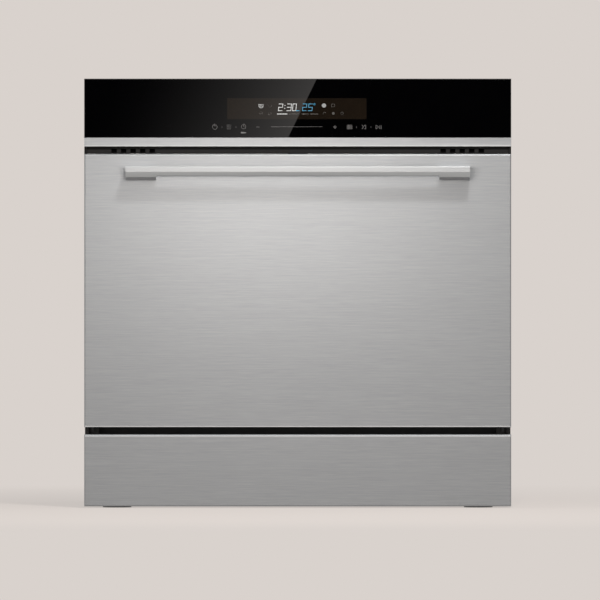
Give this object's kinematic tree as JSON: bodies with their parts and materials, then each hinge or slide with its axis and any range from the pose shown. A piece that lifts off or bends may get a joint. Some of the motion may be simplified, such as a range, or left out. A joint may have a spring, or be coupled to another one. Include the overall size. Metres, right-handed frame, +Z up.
{
  "type": "dishwasher",
  "caption": "Compact built-in dishwasher with a drop-down door, steel front, black glass control fascia, bar handle, two racks and spray arms.",
  "frame": {"origin": "centre of the bounding box at the floor", "axes": "+Z up, the front faces -Y, +X to the right seen from the front"},
  "size_m": [0.595, 0.542, 0.598],
  "materials": {
    "brushed_steel": "fine horizontal brushing, folded edges",
    "black_glass": "polished black glass",
    "display": "dark display behind the glass",
    "black_plastic": "moulded, fine grain",
    "tub_steel": "satin stainless steel",
    "galvanised_steel": "zinc coated sheet",
    "screw_steel": "zinc plated",
    "slide_steel": "bright rolled steel",
    "base_plastic": "moulded polypropylene",
    "grey_plastic": "moulded polypropylene, grey",
    "light_plastic": "moulded, light grey",
    "seal_rubber": "extruded rubber",
    "coated_wire": "nylon coated steel wire, grey"
  },
  "bodies": {
    "root": {"base_tray": "base_plastic", "side_panels": "galvanised_steel", "rear_panel": "galvanised_steel", "top_cover": "galvanised_steel", "casing_screws": "screw_steel", "tub_shell": "tub_steel", "tub_floor": "tub_steel", "tub_gasket": "seal_rubber", "plinth_panel": "brushed_steel", "gap_strip": "black_plastic", "control_glass": "black_glass", "control_rail": "brushed_steel", "panel_carrier": "black_plastic", "display_module": "display", "vent_grille": "black_plastic", "door_lock": "black_plastic", "sump": "grey_plastic", "filter_plate": "tub_steel", "wash_pump": "grey_plastic", "drain_pump": "grey_plastic", "inlet_valve": "light_plastic", "mains_gland": "base_plastic", "water_softener": "grey_plastic", "feed_riser": "grey_plastic", "air_break": "light_plastic", "fan_housing": "base_plastic", "hinge_brackets": "galvanised_steel", "hinge_channels": "galvanised_steel", "hinge_springs": "screw_steel", "upper_rails": "slide_steel"},
    "left_foot": {"left_front_foot": "base_plastic"},
    "right_foot": {"right_front_foot": "base_plastic"},
    "filter": {"filter_cylinder": "grey_plastic"},
    "lower_arm": {"lower_spray_arm": "grey_plastic"},
    "impeller": {"wash_impeller": "light_plastic"},
    "fan": {"fan_rotor": "light_plastic"},
    "salt_lid": {"salt_cap": "light_plastic"},
    "plungers": {"hinge_plungers": "light_plastic"},
    "door": {"door_panel": "brushed_steel", "door_handle": "brushed_steel", "handle_screws": "screw_steel", "door_liner": "tub_steel", "door_strike": "galvanised_steel", "hinge_arms": "galvanised_steel", "dispenser_body": "grey_plastic"},
    "detergent_lid": {"dispenser_lid": "grey_plastic"},
    "rinse_lid": {"rinse_aid_cap": "light_plastic"},
    "release_button": {"dispenser_button": "grey_plastic"},
    "lower_basket": {"lower_rack": "coated_wire", "cutlery_basket": "grey_plastic"},
    "front_rollers": {"front_wheels": "light_plastic"},
    "rear_rollers": {"rear_wheels": "light_plastic"},
    "front_tine_row": {"front_tines": "coated_wire"},
    "rear_tine_row": {"rear_tines": "coated_wire"},
    "slide_mids": {"slide_middles": "slide_steel"},
    "upper_basket": {"upper_rack": "coated_wire", "upper_feed": "grey_plastic"},
    "upper_arm": {"upper_spray_arm": "grey_plastic"},
    "left_shelf": {"left_cup_shelf": "coated_wire"},
    "right_shelf": {"right_cup_shelf": "coated_wire"}
  },
  "joints": [
    {"name": "door_hinge", "type": "hinge", "parent": "root", "child": "door", "pos_m": [0, -0.21, 0.1271], "axis": [1, 0, 0], "range_deg": [0, 90], "stiffness_Nm_per_rad": 5},
    {"name": "lower_rack_run", "type": "slide", "parent": "root", "child": "lower_basket", "axis": [0, -1, 0], "range_m": [0, 0.111]},
    {"name": "upper_rack_run", "type": "slide", "parent": "root", "child": "upper_basket", "axis": [0, -1, 0], "range_m": [0, 0.292]},
    {"name": "slide_middle_run", "type": "slide", "parent": "root", "child": "slide_mids", "axis": [0, -1, 0], "range_m": [0, 0.146]},
    {"name": "front_wheel_turn", "type": "hinge", "parent": "lower_basket", "child": "front_rollers", "pos_m": [0, -0.05, 0.1734], "axis": [1, 0, 0], "range_deg": [0, 425]},
    {"name": "rear_wheel_turn", "type": "hinge", "parent": "lower_basket", "child": "rear_rollers", "pos_m": [0, 0.15, 0.1734], "axis": [1, 0, 0], "range_deg": [0, 425]},
    {"name": "plunger_push", "type": "slide", "parent": "root", "child": "plungers", "axis": [0, 1, 0], "range_m": [0, 0.0295], "deforming": ["hinge_springs"]},
    {"name": "left_foot_screw", "type": "slide", "parent": "root", "child": "left_foot", "axis": [0, 0, -1], "range_m": [0, 0.02]},
    {"name": "right_foot_screw", "type": "slide", "parent": "root", "child": "right_foot", "axis": [0, 0, -1], "range_m": [0, 0.02]},
    {"name": "lower_arm_spin", "type": "hinge", "parent": "root", "child": "lower_arm", "pos_m": [0, 0.0325, 0.1361], "axis": [0, 0, 1], "continuous": true},
    {"name": "upper_arm_spin", "type": "hinge", "parent": "upper_basket", "child": "upper_arm", "pos_m": [0, 0.0325, 0.3281], "axis": [0, 0, 1], "continuous": true},
    {"name": "impeller_spin", "type": "hinge", "parent": "root", "child": "impeller", "pos_m": [0.122, 0.0325, 0.066], "axis": [1, 0, 0], "continuous": true},
    {"name": "fan_spin", "type": "hinge", "parent": "root", "child": "fan", "pos_m": [0, 0.1225, 0.477], "axis": [0, 0, 1], "continuous": true},
    {"name": "filter_twist", "type": "hinge", "parent": "root", "child": "filter", "pos_m": [0.05, 0.0325, 0.1281], "axis": [0, 0, 1], "range_deg": [0, 60]},
    {"name": "salt_cap_turn", "type": "hinge", "parent": "root", "child": "salt_lid", "pos_m": [-0.205, 0.185, 0.1281], "axis": [0, 0, 1], "range_deg": [0, 90]},
    {"name": "front_tine_fold", "type": "hinge", "parent": "lower_basket", "child": "front_tine_row", "pos_m": [0, -0.029, 0.1739], "axis": [1, 0, 0], "range_deg": [-85, 0]},
    {"name": "rear_tine_fold", "type": "hinge", "parent": "lower_basket", "child": "rear_tine_row", "pos_m": [0, 0.081, 0.1739], "axis": [1, 0, 0], "range_deg": [-85, 0]},
    {"name": "left_shelf_fold", "type": "hinge", "parent": "upper_basket", "child": "left_shelf", "pos_m": [-0.2472, 0.0325, 0.3921], "axis": [0, -1, 0], "range_deg": [0, 90]},
    {"name": "right_shelf_fold", "type": "hinge", "parent": "upper_basket", "child": "right_shelf", "pos_m": [0.2472, 0.0325, 0.3921], "axis": [0, 1, 0], "range_deg": [0, 90]},
    {"name": "detergent_lid_slide", "type": "slide", "parent": "door", "child": "detergent_lid", "axis": [0, 0, -1], "range_m": [0, 0.048]},
    {"name": "rinse_cap_turn", "type": "hinge", "parent": "door", "child": "rinse_lid", "pos_m": [0.042, -0.182, 0.349], "axis": [0, 1, 0], "range_deg": [0, 90]},
    {"name": "release_button_press", "type": "slide", "parent": "door", "child": "release_button", "axis": [0, -1, 0], "range_m": [0, 0.0025], "stiffness_N_per_m": 400}
  ],
  "couplings": [
    {"joint": "lower_rack_run", "follows": "door_hinge", "m_per_rad": 0.07},
    {"joint": "upper_rack_run", "follows": "door_hinge", "m_per_rad": 0.185},
    {"joint": "slide_middle_run", "follows": "door_hinge", "m_per_rad": 0.0925},
    {"joint": "front_wheel_turn", "follows": "door_hinge", "ratio": 4.6667},
    {"joint": "rear_wheel_turn", "follows": "door_hinge", "ratio": 4.6667},
    {"joint": "plunger_push", "follows": "door_hinge", "m_per_rad": 0.0185}
  ]
}
